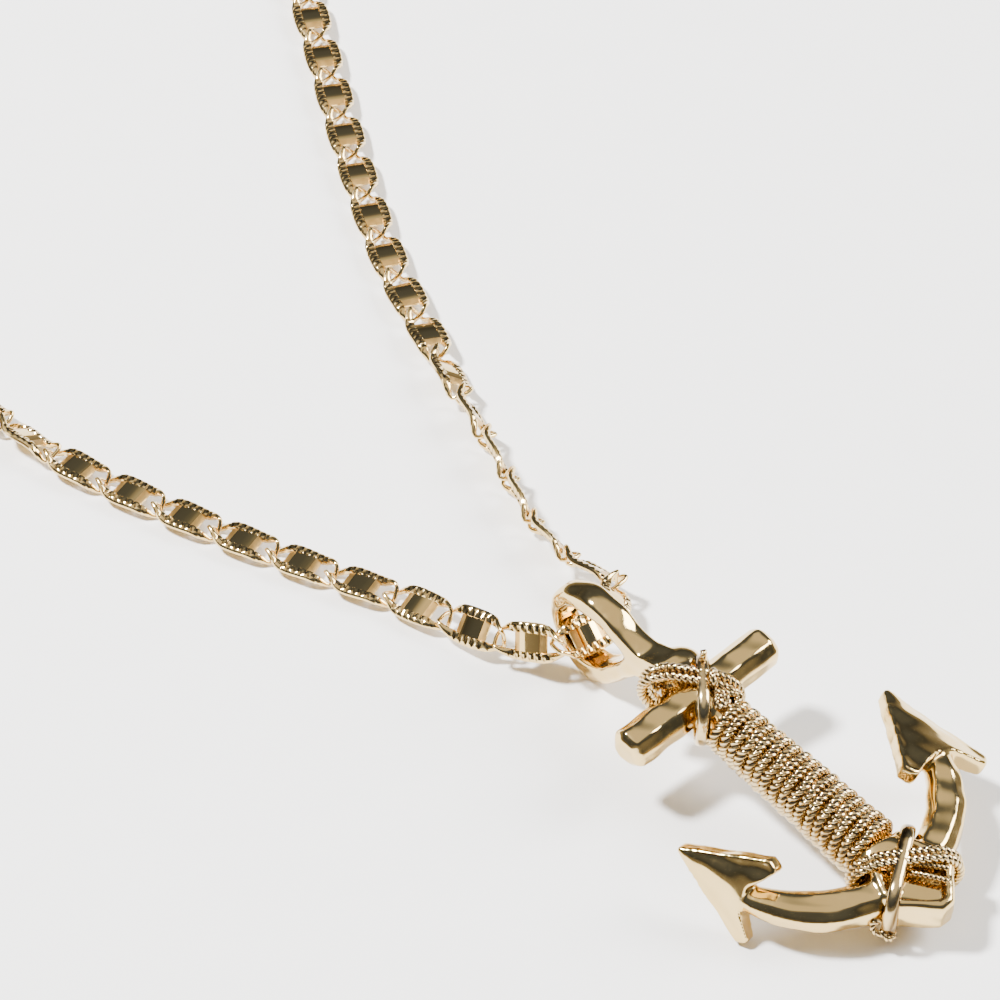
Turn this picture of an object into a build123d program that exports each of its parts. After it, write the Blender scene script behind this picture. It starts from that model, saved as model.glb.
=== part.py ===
from build123d import *
import math
import os

# Anchor pendant on its necklace chain, lying on a flat surface. Millimetres, +Z up.
# The anchor is drawn in a frame of its own: X along the stock, Y towards the bail, Z out of
# its face, origin where the stock crosses the shank. lay_down() then rests it on the surface.

# How the anchor lies: it rests on the bail, the crown rope and the left palm
PITCH = 8.0                 # degrees, bail end up
ROLL = 5.0                  # degrees, right palm up
GAP = 0.06                  # clearance between pieces that are wound or seated on each other

# Shank, a tapered round bar under its winding
SHANK_TOP_RADIUS = 1.5
SHANK_FOOT_RADIUS = 2.05
SHANK_SINK = 1.0            # how far the shank reaches into the crown
HEAD_RADIUS = 1.9
HEAD_HALF_LENGTH = 2.6
KNOB_RADIUS = 2.0
KNOB_AT = (0.2, 3.2, 0.5)

# Stock, a chamfered bar that tapers to bevelled ends
STOCK_LENGTH = 16.6
STOCK_MIDDLE = 3.45
STOCK_END = 3.4
STOCK_BEVEL = 0.55
CHAMFER_SHARE = 0.27        # part of a bar's side that each chamfer takes off

# Arms, two bars bent on one circle
ARM_RADIUS = 11.3
ARM_FOOT_Y = -24.2          # where the arms' centre line crosses the shank's
ARM_SECTIONS = [            # degrees round from the crown, width and depth of the bar
    {"turn": 8, "width": 3.5, "depth": 3.5},
    {"turn": 26, "width": 3.4, "depth": 3.1},
    {"turn": 44, "width": 3.3, "depth": 2.6},
    {"turn": 60, "width": 2.8, "depth": 2.3},
    {"turn": 78, "width": 1.6, "depth": 1.5},
]

# Palms, arrowheads with a raised ridge, each turned about its own length
PALM_TURN = 64.0            # degrees round the arm where the barbs sit
PALM_BARB = 1.1             # how long each barb's blunt end is
PALM_NOTCH = 1.7
PALM_NECK = 2.0
PALM_THICKNESS = 1.3
PALM_RIDGE = 0.75
PALM_SPLAY = 11.0           # degrees that the arrow points outward
PALMS = [                   # behind: how far the barbs reach back, lift: degrees the tip points up
    {"side": -1, "length": 8.7, "half_width": 3.9375, "behind": 0.5, "tilt": 60.0, "lift": 7.0},
    {"side": 1, "length": 9.9, "half_width": 4.8, "behind": 1.6, "tilt": 30.0, "lift": -1.5},
]

# Crown, a pointed block where shank and arms meet
CROWN_TOP_Y = -20.9
CROWN_HALF_OUTLINE = [
    {"x": 2.2, "y": -20.9}, {"x": 2.5, "y": -22.2}, {"x": 3.5, "y": -24.6},
    {"x": 3.2, "y": -26.3}, {"x": 0.6, "y": -28.9},
]
CROWN_HALF_DEPTH = 2.05
CROWN_CHAMFER = 1.0
WINDOW_LENGTH = 1.5
WINDOW_WIDTH = 3.0
WINDOW_DEPTH = 0.5

# Bail, a standing teardrop loop of domed band, its outlines in the upright plane x = 0
BAIL_WIDTH = 2.5
BAIL_EDGE_RADIUS = 0.6
BAIL_OUTER = [
    {"y": 3.4, "z": 1.9}, {"y": 5.4, "z": 0.9}, {"y": 7.7, "z": 1.2}, {"y": 10.0, "z": 2.0},
    {"y": 12.6, "z": 1.9}, {"y": 15.2, "z": 0.5}, {"y": 16.5, "z": -1.8}, {"y": 16.4, "z": -4.2},
    {"y": 14.7, "z": -7.1}, {"y": 12.6, "z": -8.3}, {"y": 10.9, "z": -8.4}, {"y": 8.9, "z": -6.8},
    {"y": 7.0, "z": -4.1}, {"y": 5.4, "z": -2.0}, {"y": 3.4, "z": -1.5},
]
BAIL_HOLE = [
    {"y": 15.3, "z": -3.2}, {"y": 14.7, "z": -1.4}, {"y": 13.2, "z": -0.2}, {"y": 11.6, "z": 0.1},
    {"y": 9.6, "z": -0.1}, {"y": 7.6, "z": -1.0}, {"y": 8.8, "z": -3.6}, {"y": 10.5, "z": -5.7},
    {"y": 12.4, "z": -6.4}, {"y": 14.4, "z": -5.4},
]

# Rope wound on the shank, and the two cross lashings
ROPE_TURNS = 17
ROPE_START_Y = -3.7
ROPE_END_Y = -20.7
SLEEVE_WALL = 0.4
RIDGE_HEIGHT = 0.4
LASHING_RADIUS = 0.42
HEAD_LASHING_RISE = 0.3
HEAD_LASHINGS = [
    {"x": -0.05, "y": 0.65, "angle": -53.0, "half": 4.1},
    {"x": 0.1, "y": -0.4, "angle": 48.0, "half": 3.6},
]
CROWN_LASHING_RISE = 0.12
CROWN_LASHINGS = [
    {"x": 0.35, "y": -23.65, "angle": -34.5, "half": 4.5},
    {"x": -0.35, "y": -23.65, "angle": 34.5, "half": 4.5},
]
KNOT_RADIUS = 0.6
KNOT_ROPE = 0.34
KNOT_AT = (0.9, -0.9)
KNOT_LEAN = 70.0            # degrees that the knot's ring stands up
KNOT_HEADING = 45.0
STUB_AT = (1.5, 1.1)
STUB_LENGTH = 1.5

# Chain of flat links with a mirror plate, all alike, each end twisted to hold the next
LINK_PITCH = 5.8
LINK_WIDTH = 3.3
WIRE_RADIUS = 0.2
RAIL_WIDTH = 0.9
RAIL_THICKNESS = 0.8
LINK_TWIST = 45.0           # degrees that each end turns out of the plate's plane
LINK_CLEARANCE = 0.3
PLATE_LENGTH = 3.0
PLATE_THICKNESS = 0.3
WIRE_SIDES = 5
LINK_OUTLINE = [            # shares of half length and half width, and of the end's twist
    {"along": 0.995, "across": 0.35, "twist": 1.0},
    {"along": 0.9, "across": 0.85, "twist": 1.0},
    {"along": 0.5, "across": 1.0, "twist": 0.0},
]

# Clasp, an oval ring
CLASP_LENGTH = 12.0
CLASP_WIDTH = 5.4
CLASP_BAR = 0.3
CLASP_THICKNESS = 0.3
CLASP_SLACK = 0.22          # room between the clasp's bar and a link's end wire

# Route of the chain from the bail round the neck and back: x, y from the stock crossing,
# height of the link's middle above the surface, and degrees that the links are rolled
ROUTE = [
    (0.8, 13.15, 4.5, -39), (-2.2, 14.7, 3.75, -64), (-4.15, 20.4, 2.4, -50),
    (-5.1, 26.6, 1.45, -19), (-6.5, 32.4, 1.04, 0), (-8.6, 37.9, 1.04, 0),
    (-12.0, 48.8, 1.04, 0), (-15.0, 60.3, 1.04, 0), (-16.1, 68.0, 1.45, 32),
    (-16.4, 76.0, 1.32, 15), (-20.5, 86.0, 1.04, 0), (-36.0, 104.0, 1.04, 0),
    (-50.0, 127.0, 1.04, 0), (-50.0, 155.0, 1.04, 0), (-31.0, 181.0, 1.04, 0),
    (2.0, 191.0, 1.04, 0), (35.0, 181.0, 1.04, 0), (55.0, 156.0, 1.04, 0),
    (57.0, 128.0, 1.04, 0), (49.0, 106.0, 1.04, 0), (40.5, 91.3, 1.04, 0),
    (31.2, 76.4, 1.04, 0), (23.2, 62.5, 1.04, 0), (18.4, 51.6, 1.3, -10),
    (15.3, 44.6, 1.7, -50), (12.2, 37.0, 1.75, -72), (9.2, 29.8, 1.75, -72),
    (7.4, 24.4, 2.0, -55), (8.0, 17.9, 2.8, -40), (4.2, 13.7, 3.6, -44),
]
ROUTE_STEPS = 40            # samples between two points when the route is measured


def octagon(plane, width, depth):
    """Face of a chamfered bar: width along the plane's X, depth along its Y."""
    w, d = width / 2, depth / 2
    cw, cd = CHAMFER_SHARE * width, CHAMFER_SHARE * depth
    corners = [(w, d - cd), (w - cw, d), (cw - w, d), (-w, d - cd),
               (-w, cd - d), (cw - w, -d), (w - cw, -d), (w, cd - d)]
    points = [plane.from_local_coords((x, y, 0)) for x, y in corners]
    return Face(Wire.make_polygon(points, close=True))


def polyhedron(points, triangles):
    """Solid from corner points and triangles of their numbers, wound outward."""
    faces = [Face(Wire.make_polygon([points[i] for i in tri], close=True)) for tri in triangles]
    return Solid(Shell(faces))


def shank():
    """Tapered bar from the head to the crown, on the Y axis."""
    return Solid.make_cone(SHANK_TOP_RADIUS, SHANK_FOOT_RADIUS, SHANK_SINK - CROWN_TOP_Y,
                           Plane(origin=(0, 0, 0), z_dir=(0, -1, 0)))


def head():
    """Round head, and the knob that the bail grows from."""
    barrel = Solid.make_cylinder(HEAD_RADIUS, 2 * HEAD_HALF_LENGTH,
                                 Plane(origin=(0, -HEAD_HALF_LENGTH, 0), z_dir=(0, 1, 0)))
    return [barrel, Pos(*KNOB_AT) * Sphere(KNOB_RADIUS)]


def stock():
    """Chamfered crossbar, thickest in the middle, with bevelled ends."""
    half = STOCK_LENGTH / 2
    end_face = STOCK_END - 2 * STOCK_BEVEL
    stations = [(-half, end_face), (STOCK_BEVEL - half, STOCK_END), (0, STOCK_MIDDLE),
                (half - STOCK_BEVEL, STOCK_END), (half, end_face)]
    faces = [octagon(Plane(origin=(x, 0, 0), x_dir=(0, 1, 0), z_dir=(1, 0, 0)), side, side)
             for x, side in stations]
    return loft(faces, ruled=True)


def arm_point(side, turn):
    """Point of an arm's centre line and its outward direction, turn degrees from the crown."""
    angle = math.radians(turn)
    outward = Vector(side * math.sin(angle), -math.cos(angle), 0)
    return Vector(0, ARM_FOOT_Y + ARM_RADIUS, 0) + outward * ARM_RADIUS, outward


def arm(side):
    """Bent chamfered bar from the crown into its palm."""
    faces = []
    for row in ARM_SECTIONS:
        centre, outward = arm_point(side, row["turn"])
        along = Vector(side * -outward.Y, side * outward.X, 0)
        plane = Plane(origin=centre, x_dir=outward, z_dir=along)
        faces.append(octagon(plane, row["width"], row["depth"]))
    return loft(faces)


def palm(side, length, half_width, behind, tilt, lift):
    """Arrowhead plate with a ridge on its outer face, tilted about its own length."""
    root, _ = arm_point(side, PALM_TURN)
    splay, lean = math.radians(PALM_SPLAY), math.radians(tilt)
    ahead = Vector(side * math.sin(splay), math.cos(splay), math.tan(math.radians(lift)))
    sideways = Vector(side * math.cos(splay), -math.sin(splay), 0)
    across = sideways * -math.cos(lean) + Vector(0, 0, math.sin(lean))
    face = sideways * math.sin(lean) + Vector(0, 0, math.cos(lean))
    half = PALM_THICKNESS / 2

    def at(forward, out, rise):
        return root + ahead * (forward - behind) + across * out + face * rise

    neck = PALM_NECK / 2
    barb = half_width - PALM_BARB / 2
    outline = [(length, 0), (PALM_BARB, half_width), (0, barb), (PALM_NOTCH, neck),
               (PALM_NOTCH, -neck), (0, -barb), (PALM_BARB, -half_width)]
    base = Face(Wire.make_polygon([at(a, b, -half) for a, b in outline], close=True))
    plate = Solid.extrude(base, face * PALM_THICKNESS)
    tip = at(length, 0, half)
    upper, lower = at(PALM_BARB, half_width, half), at(PALM_BARB, -half_width, half)
    seat, ridge = at(PALM_NOTCH, 0, 0), at(PALM_NOTCH, 0, half + PALM_RIDGE)
    corners = [tip, upper, lower, seat, ridge]
    roof = polyhedron(corners, [(0, 1, 4), (0, 4, 2), (0, 3, 1), (0, 2, 3), (1, 3, 4), (2, 4, 3)])
    return plate + roof


def crown():
    """Pointed block with bevelled edges and a sunk window at its top."""
    right = [(row["x"], row["y"], -CROWN_HALF_DEPTH) for row in CROWN_HALF_OUTLINE]
    outline = right + [(-x, y, z) for x, y, z in reversed(right)]
    block = Solid.extrude(Face(Wire.make_polygon(outline, close=True)),
                          Vector(0, 0, 2 * CROWN_HALF_DEPTH))
    rims = block.edges().group_by(Axis.Z)
    block = chamfer(rims[0] + rims[-1], CROWN_CHAMFER)
    window = Pos(0, CROWN_TOP_Y, CROWN_HALF_DEPTH)
    return block - window * Box(WINDOW_WIDTH, 2 * WINDOW_LENGTH, 2 * WINDOW_DEPTH)


def bail():
    """Teardrop band with a round-edged rim, both ends grown into the head's knob."""
    side = -BAIL_WIDTH / 2
    rim = [Vector(side, row["y"], row["z"]) for row in BAIL_OUTER]
    hole = [Vector(side, row["y"], row["z"]) for row in BAIL_HOLE]
    outer = Face(Wire([Edge.make_spline(rim), Edge.make_line(rim[-1], rim[0])]))
    block = Solid.extrude(outer, Vector(BAIL_WIDTH, 0, 0))
    edges = [e for e in block.edges() if e.length > BAIL_OUTER[5]["y"]]
    block = fillet(edges, BAIL_EDGE_RADIUS)
    inner = Face(Wire([Edge.make_spline(hole, periodic=True)]))
    return block - Solid.extrude(inner, Vector(BAIL_WIDTH, 0, 0))


def anchor():
    """The casting: shank, head, stock, arms, palms, crown and bail in one solid."""
    body = shank() + stock() + crown()
    for row in PALMS:
        body = body + arm(row["side"]) + palm(**row)
    for piece in head() + [bail()]:
        body = body + piece
    return body


def shank_radius(y):
    """Radius of the tapered shank at a place along it."""
    share = -y / (SHANK_SINK - CROWN_TOP_Y)
    return SHANK_TOP_RADIUS + (SHANK_FOOT_RADIUS - SHANK_TOP_RADIUS) * share


def shank_rope():
    """Rope wound on the shank: a sleeve with one ridge for each turn."""
    pitch = (ROPE_END_Y - ROPE_START_Y) / ROPE_TURNS
    wall = GAP + SLEEVE_WALL
    profile = [(shank_radius(ROPE_START_Y) + GAP, ROPE_START_Y),
               (shank_radius(ROPE_START_Y) + wall, ROPE_START_Y)]
    for i in range(ROPE_TURNS):
        for share, rise in ((0.28, RIDGE_HEIGHT), (0.72, RIDGE_HEIGHT), (1.0, 0.0)):
            y = ROPE_START_Y + (i + share) * pitch
            profile.append((shank_radius(y) + wall + rise, y))
    profile.append((shank_radius(ROPE_END_Y) + GAP, ROPE_END_Y))
    outline = [Vector(x, y, 0) for x, y in profile]
    return revolve(Face(Wire.make_polygon(outline, close=True)), Axis.Y)


def hoop(x, y, angle, half, half_height):
    """Closed rope loop with round ends, in an upright plane at an angle to X."""
    along = Vector(math.cos(math.radians(angle)), math.sin(math.radians(angle)), 0)
    plane = Plane(origin=(x, y, 0), x_dir=along, z_dir=along.cross(Vector(0, 0, 1)))
    path = (plane * SlotOverall(2 * half, 2 * half_height)).wire()
    section = Plane(origin=path.position_at(0), z_dir=path.tangent_at(0)) * Circle(LASHING_RADIUS)
    return sweep(section, path=path)


def head_lashing():
    """Two rope loops crossed over the stock and the shank, with the knot and its end."""
    reach = HEAD_RADIUS + HEAD_LASHING_RISE + LASHING_RADIUS
    first, second = (hoop(half_height=reach, **row) for row in HEAD_LASHINGS)
    knot_place = Pos(*KNOT_AT, reach + KNOT_ROPE) * Rot(KNOT_LEAN, 0, KNOT_HEADING)
    knot = knot_place * Torus(KNOT_RADIUS, KNOT_ROPE)
    stub_place = Pos(*STUB_AT, reach + STUB_LENGTH / 2 - KNOT_ROPE)
    stub = stub_place * Cylinder(KNOT_ROPE, STUB_LENGTH)
    return first + second + knot + stub


def crown_lashing():
    """Two rope loops crossed over the crown."""
    reach = CROWN_HALF_DEPTH + CROWN_LASHING_RISE + LASHING_RADIUS
    first, second = (hoop(half_height=reach, **row) for row in CROWN_LASHINGS)
    return first + second


def link():
    """One chain link: an oval wire with twisted ends and the mirror plate across it."""
    half_length = (LINK_PITCH + LINK_CLEARANCE) / 2 + WIRE_RADIUS
    half_width = (LINK_WIDTH - RAIL_WIDTH) / 2
    stations = []
    for side, end in ((1, 1), (1, -1), (-1, -1), (-1, 1)):
        for row in LINK_OUTLINE[::side * end]:
            turn = math.radians(end * row["twist"] * LINK_TWIST)
            across = side * half_width * row["across"]
            flat = 1 - row["twist"]
            broad = WIRE_RADIUS + (RAIL_WIDTH / 2 - WIRE_RADIUS) * flat
            thick = WIRE_RADIUS + (RAIL_THICKNESS / 2 - WIRE_RADIUS) * flat
            place = Vector(end * half_length * row["along"], across * math.cos(turn),
                           across * math.sin(turn))
            outward = Vector(0, side * math.cos(turn), side * math.sin(turn))
            stations.append((place, outward, broad, thick))
    points = []
    count = len(stations)
    for i, (place, outward, broad, thick) in enumerate(stations):
        run = (stations[(i + 1) % count][0] - stations[i - 1][0]).normalized()
        third = run.cross(outward).normalized()
        second = third.cross(run)
        for k in range(WIRE_SIDES):
            angle = 2 * math.pi * (k + 0.5) / WIRE_SIDES
            points.append(place + second * (broad * math.cos(angle))
                          + third * (thick * math.sin(angle)))
    triangles = []
    for i in range(count):
        j = (i + 1) % count
        for k in range(WIRE_SIDES):
            m = (k + 1) % WIRE_SIDES
            a, b = i * WIRE_SIDES + k, i * WIRE_SIDES + m
            c, d = j * WIRE_SIDES + k, j * WIRE_SIDES + m
            triangles += [(a, b, d), (a, d, c)]
    wire = polyhedron(points, triangles)
    return wire + Box(PLATE_LENGTH, 2 * half_width, PLATE_THICKNESS)


def route_point(t):
    """Point and roll at t points along the closed route, on a Catmull-Rom curve."""
    count = len(ROUTE)
    i, f = int(t) % count, t - int(t)
    a, b, c, d = (ROUTE[(i + k) % count] for k in (-1, 0, 1, 2))
    return [0.5 * (2 * q + (r - p) * f + (2 * p - 5 * q + 4 * r - s) * f ** 2
                   + (3 * q - p - 3 * r + s) * f ** 3) for p, q, r, s in zip(a, b, c, d)]


def measure_route():
    """Sample the route: a list of its length so far, its point and its roll."""
    rows, length, last = [], 0.0, None
    for n in range(len(ROUTE) * ROUTE_STEPS + 1):
        x, y, z, roll = route_point(n / ROUTE_STEPS)
        place = Vector(x, y, z)
        length += (place - last).length if last else 0.0
        rows.append((length, place, roll))
        last = place
    return rows


def at_length(rows, length):
    """Point and roll at a length along the measured route."""
    length %= rows[-1][0]
    low, high = 0, len(rows) - 1
    while high - low > 1:
        middle = (low + high) // 2
        if rows[middle][0] <= length:
            low = middle
        else:
            high = middle
    share = (length - rows[low][0]) / (rows[high][0] - rows[low][0])
    place = rows[low][1] + (rows[high][1] - rows[low][1]) * share
    return place, rows[low][2] + (rows[high][2] - rows[low][2]) * share


def placing(rows, middle, span):
    """Location of a link whose ends lie on the route, half a span each side of middle."""
    start, _ = at_length(rows, middle - span / 2)
    end, _ = at_length(rows, middle + span / 2)
    _, roll = at_length(rows, middle)
    along = (end - start).normalized()
    level = Vector(0, 0, 1).cross(along).normalized()
    upright = along.cross(level)
    turn = math.radians(roll)
    face = upright * math.cos(turn) - level * math.sin(turn)
    return Location(Plane(origin=(start + end) * 0.5, x_dir=along, z_dir=face))


def chain_layout():
    """Places of the links and of the clasp, spaced evenly round the whole route."""
    rows = measure_route()
    total = rows[-1][0]
    clasp_span = CLASP_LENGTH - 2 * CLASP_BAR - LINK_CLEARANCE + 2 * CLASP_SLACK
    count = round((total - clasp_span) / LINK_PITCH)
    pitch = (total - clasp_span) / count
    clasp_after = count // 2
    places = []
    for i in range(count):
        shift = clasp_span if i > clasp_after else 0.0
        places.append(placing(rows, i * pitch + shift, pitch))
    clasp_middle = clasp_after * pitch + pitch / 2 + clasp_span / 2
    return places, placing(rows, clasp_middle, clasp_span)


def clasp():
    """Plain oval ring that closes the chain."""
    outline = SlotOverall(CLASP_LENGTH, CLASP_WIDTH)
    opening = SlotOverall(CLASP_LENGTH - 2 * CLASP_BAR, CLASP_WIDTH - 2 * CLASP_BAR)
    return extrude(outline - opening, CLASP_THICKNESS / 2, both=True)


def main():
    """Build every piece, rest the anchor on the surface and write one file for each node."""
    os.makedirs("parts", exist_ok=True)
    lean = Rot(PITCH, 0, 0) * Rot(0, -ROLL, 0)
    hung = {"anchor": anchor(), "shank_rope": shank_rope(), "head_lashing": head_lashing(),
            "crown_lashing": crown_lashing()}
    laid = {name: lean * solid for name, solid in hung.items()}
    lift = -min(solid.bounding_box().min.Z for solid in laid.values())
    pieces = {name: Pos(0, 0, lift) * solid for name, solid in laid.items()}
    places, clasp_place = chain_layout()
    one = link()
    pieces["chain"] = Compound(children=[one.moved(place) for place in places])
    pieces["clasp"] = clasp_place * clasp()
    boxes = [piece.bounding_box() for piece in pieces.values()]
    middle_x = (min(b.min.X for b in boxes) + max(b.max.X for b in boxes)) / 2
    middle_y = (min(b.min.Y for b in boxes) + max(b.max.Y for b in boxes)) / 2
    for name, piece in pieces.items():
        export_step(Pos(-middle_x, -middle_y, 0) * piece, "parts/" + name + ".step")


main()
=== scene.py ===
import math

import bmesh
import bpy
import numpy as np
from mathutils import Matrix


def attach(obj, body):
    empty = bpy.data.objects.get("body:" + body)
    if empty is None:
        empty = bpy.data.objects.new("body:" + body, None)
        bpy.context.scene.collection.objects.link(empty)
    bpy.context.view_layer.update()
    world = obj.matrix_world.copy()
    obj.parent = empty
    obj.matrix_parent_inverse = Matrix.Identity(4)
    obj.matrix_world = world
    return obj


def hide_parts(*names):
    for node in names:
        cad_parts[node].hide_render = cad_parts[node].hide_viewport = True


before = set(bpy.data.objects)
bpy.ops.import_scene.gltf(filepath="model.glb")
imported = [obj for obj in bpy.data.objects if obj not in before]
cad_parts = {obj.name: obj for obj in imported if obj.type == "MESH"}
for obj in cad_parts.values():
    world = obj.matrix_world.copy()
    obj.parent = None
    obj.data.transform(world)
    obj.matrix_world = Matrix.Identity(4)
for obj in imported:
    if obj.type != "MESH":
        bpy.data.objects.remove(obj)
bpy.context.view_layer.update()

bl_info = {
    "name": "Anchor pendant",
    "version": (1, 0, 0),
    "blender": (4, 5, 0),
    "location": "3D View > Sidebar > Pendant",
    "description": "Dresses the anchor pendant and its chain in polished gold on a pale floor",
    "category": "Object",
}

MM = 0.001                      # the tables below are in millimetres, the meshes in metres

# How the anchor lies: its own frame has X along the stock, Y to the bail, Z out of its face
PITCH = 8.0                     # degrees, bail end up
ROLL = 5.0                      # degrees, right palm up
STOCK_CROSSING = (-2.866, -82.348, 7.057)
WINDING_GAP = 0.06              # room between the winding and the shank

# Anchor casting, as in the part's source
SHANK_RADII = (1.5, 2.05)
SHANK_LENGTH = 21.9
HEAD_RADIUS = 1.9
HEAD_HALF_LENGTH = 2.6
HEAD_EASE = 0.35
SHOULDER_RADII = (2.3, 2.0, 1.6)
SHOULDER_AT = (0.75, 3.0, 0.15)
STOCK_LENGTH = 16.6
STOCK_MIDDLE = 3.45
STOCK_END = 3.4
STOCK_BEVEL = 0.55
CHAMFER_SHARE = 0.27
ARM_RADIUS = 11.3
ARM_FOOT_Y = -24.2
ARM_TURNS = (8.0, 26.0, 44.0, 60.0, 78.0)       # degrees round from the crown
ARM_WIDTHS = (3.5, 3.4, 3.3, 2.8, 1.6)
ARM_DEPTHS = (3.5, 3.1, 2.6, 2.3, 1.5)
PALM_TURN = 64.0
PALM_NOTCH = 1.7
PALM_NECK = 2.0
PALM_THICKNESS = 1.3
PALM_RIDGE = 0.75
PALM_SPLAY = 11.0
PALM_BARB = 1.1                 # how long each barb's blunt end is
PALM_BARB_AT = 0.88             # share of the way out to the barb where that end begins
PALM_BLUNT = 0.04               # share of the length that its point is worn back
PALM_RIM = 0.14
PALM_RIM_SPREAD = 0.07          # its width as a share of the half width
PALM_GROWN = 0.15               # makes up for what the smoothing takes off
PALMS = (                       # behind: how far the barbs reach back, lift: of the tip
    {"side": -1, "length": 8.7, "half_width": 3.9375, "behind": 0.5, "tilt": 60.0, "lift": 7.0},
    {"side": 1, "length": 9.9, "half_width": 4.8, "behind": 1.6, "tilt": 30.0, "lift": -1.5},
)
CROWN_HALF_OUTLINE = ((2.2, -20.9), (2.5, -22.2), (3.5, -24.6), (3.2, -26.3), (0.6, -28.9))
CROWN_HALF_DEPTH = 2.05
CROWN_CHAMFER = 1.0
CROWN_RIM_EASE = 0.35           # bevel of the raised rim round the crown's face
CROWN_RIM = 0.8
CROWN_SINK = 0.45
CROWN_WALL = 0.1                # how far the wall round the sunk face leans in
STRAP_Y = -21.7
STRAP_LEAN = -14.0
STRAP_HALF = (2.45, 2.2)        # half sizes of its oval across and through the shank
STRAP_WIDTH = 1.7
STRAP_THICKNESS = 0.7
STRAP_ROUNDNESS = 0.6           # of its section: 1 an ellipse, towards 0 a rectangle
BAIL_WIDTH = 2.5
BAIL_DOME = 0.6                 # how much lower the band's edges are than its crest
BAIL_HOLE_EASE = 0.25
BAIL_OUTER = ((3.4, 1.9), (5.4, 0.9), (7.7, 1.2), (10.0, 2.0), (12.6, 1.9), (15.2, 0.5),
              (16.5, -1.8), (16.4, -4.2), (14.7, -7.1), (12.6, -8.3), (10.9, -8.4),
              (8.9, -6.8), (7.0, -4.1), (5.4, -2.0), (3.4, -1.5))
BAIL_HOLE = ((15.3, -3.2), (14.7, -1.4), (13.2, -0.2), (11.6, 0.1), (9.6, -0.1),
             (7.6, -1.0), (8.8, -3.6), (10.5, -5.7), (12.4, -6.4), (14.4, -5.4))
BAIL_MIDDLE = (11.5, -3.0)      # inside the hole, from which both outlines are seen whole

# Winding and lashings
ROPE_TURNS = 18
ROPE_START_Y = -2.7             # a turn above the solid's, over the bare neck of the shank
ROPE_END_Y = -20.7
ROPE_SWAY = 0.06                # how unevenly it is wound
LASHING_RADIUS = 0.42
HEAD_RISE = 0.3                 # room under the lashings
CROWN_RISE = 0.12
HEAD_REACH = HEAD_RADIUS + HEAD_RISE + LASHING_RADIUS
CROWN_REACH = CROWN_HALF_DEPTH + CROWN_RISE + LASHING_RADIUS
HEAD_LASHINGS = (
    {"x": -0.05, "y": 0.65, "angle": -53.0, "half": 4.1},
    {"x": 0.1, "y": -0.4, "angle": 48.0, "half": 3.6},
)
CROWN_LASHINGS = (
    {"x": 0.35, "y": -23.65, "angle": -34.5, "half": 4.5},
    {"x": -0.35, "y": -23.65, "angle": 34.5, "half": 4.5},
)
HEAD_STRANDS = ((-0.42, 0.0), (0.42, 0.0), (0.0, 0.62))  # beside, and tighter than, the loop
CROWN_STRANDS = ((-0.35, 0.0), (0.35, 0.0), (0.0, 0.45))
HEAD_KNOTS = (                  # small rings of rope that make up the knot
    {"x": 0.9, "y": -0.9, "z": 2.9, "radius": 0.6, "lean": 70, "heading": 45},
    {"x": 0.9, "y": -2.7, "z": 2.0, "radius": 0.8, "lean": 20, "heading": 20},
    {"x": 1.6, "y": -2.2, "z": 1.9, "radius": 0.6, "lean": 60, "heading": 110},
    {"x": 0.1, "y": -2.6, "z": 2.2, "radius": 0.5, "lean": 35, "heading": -30},
    {"x": -1.9, "y": 3.0, "z": 0.9, "radius": 0.6, "lean": 60, "heading": 30},
    {"x": -2.0, "y": 3.1, "z": -0.2, "radius": 0.6, "lean": 80, "heading": 50},
)
HEAD_ENDS = (((1.5, 1.1, 2.4), (1.5, 1.1, 4.0)), ((0.2, -1.6, 2.5), (1.9, -3.2, 1.9)))
CROWN_KNOTS = (
    {"x": -4.4, "y": -25.6, "z": -0.6, "radius": 0.6, "lean": 60, "heading": -40},
    {"x": -4.0, "y": -26.2, "z": -1.2, "radius": 0.5, "lean": 30, "heading": 30},
)
CROWN_ENDS = (((0.5, -23.9, 1.9), (2.5, -26.4, 1.8)), ((-0.2, -24.6, 1.9), (1.6, -27.2, 1.8)))
# Sections of rope: flat widens them, groove is how deep the strands part, as a share of the
# radius, and lay is the length of one turn of a strand
WINDING_LAY = {"flat": 1.15, "strands": 3, "groove": 0.42}
LASHING_LAY = {"radius": LASHING_RADIUS, "flat": 1.0, "strands": 3, "groove": 0.38}
BAND_LAY = {"radius": LASHING_RADIUS, "flat": 1.5, "strands": 2, "lay": 30.0, "groove": 0.15}
KNOT_LAY = {"radius": 0.3, "flat": 1.0, "strands": 3, "lay": 1.2, "groove": 0.38}

# Chain and clasp
LINK_PITCH = 5.8
LINK_WIDTH = 3.3
WIRE_RADIUS = 0.2
RAIL_WIDTH = 0.9
RAIL_THICKNESS = 0.8
RAIL_FALL = 0.3                 # share of its thickness that a rail loses towards its outside
RAIL_SQUARENESS = (0.4, 0.2)    # of its section, inside and outside: 0 round, 1 square
RAIL_LENGTH = 4.6               # the part of each side that is milled
MILLING = 7                     # notches along it
MILLING_DEPTH = 0.5
LINK_TWIST = 45.0
LINK_CLEARANCE = 0.3
PLATE_PROFILE = ((0.95, 0.24), (1.5, 0.02), (1.5, -0.15), (0.95, -0.2))  # half of it: x, z
LINK_OUTLINE = ((0.995, 0.35, 1.0), (0.9, 0.84, 1.0), (0.45, 1.0, 0.0))  # along, across, twist
CLASP_LENGTH = 12.0
CLASP_WIDTH = 5.4
CLASP_BAR = 0.3
CLASP_SLACK = 0.22
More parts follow.
